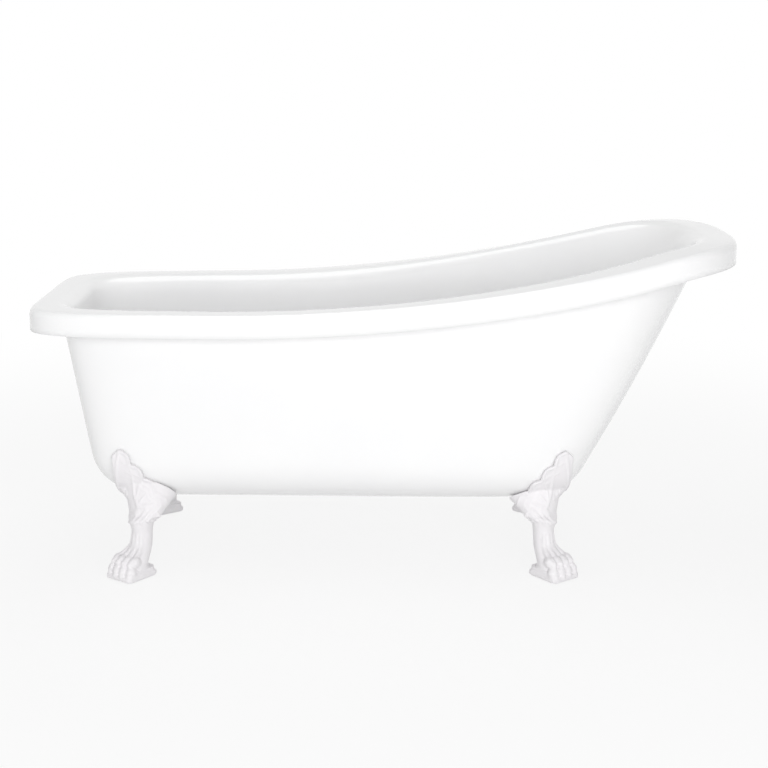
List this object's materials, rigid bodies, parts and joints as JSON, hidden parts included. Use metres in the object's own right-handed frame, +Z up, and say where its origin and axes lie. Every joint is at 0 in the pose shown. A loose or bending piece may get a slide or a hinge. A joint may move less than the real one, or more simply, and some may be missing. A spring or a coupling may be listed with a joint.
{
  "type": "freestanding slipper bathtub",
  "caption": "Freestanding slipper bathtub with a rolled rim, one raised rounded end, scrolled paw feet that level, and a push-open waste in the floor.",
  "frame": {"origin": "on the floor under the middle of the tub's length and width", "axes": "+X along the tub towards the raised end, +Y across it away from the viewer, +Z up"},
  "size_m": [1.7, 0.782, 0.81],
  "materials": {
    "acrylic_white": "gloss white acrylic",
    "foot_white": "satin white paint on cast metal",
    "chrome": "polished chrome plate",
    "brass_nut": "plain turned brass",
    "zinc_steel": "zinc-plated steel",
    "rubber": "matt black rubber",
    "board_wood": "plain particle board"
  },
  "bodies": {
    "tub": {"basin": "acrylic_white", "outer_skin": "acrylic_white", "base_board": "board_wood", "cross_channel_low": "zinc_steel", "cross_channel_high": "zinc_steel", "foot_bolts": "zinc_steel", "foot_washers": "zinc_steel", "weld_nuts": "zinc_steel", "foot_low_front": "foot_white", "foot_low_back": "foot_white", "foot_high_front": "foot_white", "foot_high_back": "foot_white", "leveller_locknut_low_front": "zinc_steel", "leveller_locknut_low_back": "zinc_steel", "leveller_locknut_high_front": "zinc_steel", "leveller_locknut_high_back": "zinc_steel", "waste_flange": "chrome", "waste_gasket_top": "rubber", "waste_gasket_under": "rubber", "waste_backnut": "brass_nut", "plug_cartridge": "brass_nut"},
    "plug": {"plug_cap": "chrome", "plug_stem": "brass_nut", "plug_seal": "rubber"},
    "leveller_pad_low_front": {"leveller_pad_low_front": "zinc_steel"},
    "leveller_screw_low_front": {"leveller_screw_low_front": "zinc_steel"},
    "leveller_pad_low_back": {"leveller_pad_low_back": "zinc_steel"},
    "leveller_screw_low_back": {"leveller_screw_low_back": "zinc_steel"},
    "leveller_pad_high_front": {"leveller_pad_high_front": "zinc_steel"},
    "leveller_screw_high_front": {"leveller_screw_high_front": "zinc_steel"},
    "leveller_pad_high_back": {"leveller_pad_high_back": "zinc_steel"},
    "leveller_screw_high_back": {"leveller_screw_high_back": "zinc_steel"}
  },
  "joints": [
    {"name": "plug_lift", "type": "slide", "parent": "tub", "child": "plug", "axis": [0, 0, 1], "range_m": [0, 0.009]},
    {"name": "leveller_travel_low_front", "type": "slide", "parent": "tub", "child": "leveller_pad_low_front", "axis": [0, 0, -1], "range_m": [0, 0.015]},
    {"name": "leveller_turn_low_front", "type": "hinge", "parent": "leveller_pad_low_front", "child": "leveller_screw_low_front", "pos_m": [-0.617, -0.264, 0.03], "axis": [0, 0, -1], "range_deg": [0, 3601]},
    {"name": "leveller_travel_low_back", "type": "slide", "parent": "tub", "child": "leveller_pad_low_back", "axis": [0, 0, -1], "range_m": [0, 0.015]},
    {"name": "leveller_turn_low_back", "type": "hinge", "parent": "leveller_pad_low_back", "child": "leveller_screw_low_back", "pos_m": [-0.617, 0.264, 0.03], "axis": [0, 0, -1], "range_deg": [0, 3601]},
    {"name": "leveller_travel_high_front", "type": "slide", "parent": "tub", "child": "leveller_pad_high_front", "axis": [0, 0, -1], "range_m": [0, 0.015]},
    {"name": "leveller_turn_high_front", "type": "hinge", "parent": "leveller_pad_high_front", "child": "leveller_screw_high_front", "pos_m": [0.407, -0.264, 0.03], "axis": [0, 0, -1], "range_deg": [0, 3601]},
    {"name": "leveller_travel_high_back", "type": "slide", "parent": "tub", "child": "leveller_pad_high_back", "axis": [0, 0, -1], "range_m": [0, 0.015]},
    {"name": "leveller_turn_high_back", "type": "hinge", "parent": "leveller_pad_high_back", "child": "leveller_screw_high_back", "pos_m": [0.407, 0.264, 0.03], "axis": [0, 0, -1], "range_deg": [0, 3601]}
  ],
  "couplings": [
    {"joint": "leveller_turn_low_front", "follows": "leveller_travel_low_front", "rad_per_m": 4188.8},
    {"joint": "leveller_turn_low_back", "follows": "leveller_travel_low_back", "rad_per_m": 4188.8},
    {"joint": "leveller_turn_high_front", "follows": "leveller_travel_high_front", "rad_per_m": 4188.8},
    {"joint": "leveller_turn_high_back", "follows": "leveller_travel_high_back", "rad_per_m": 4188.8}
  ]
}
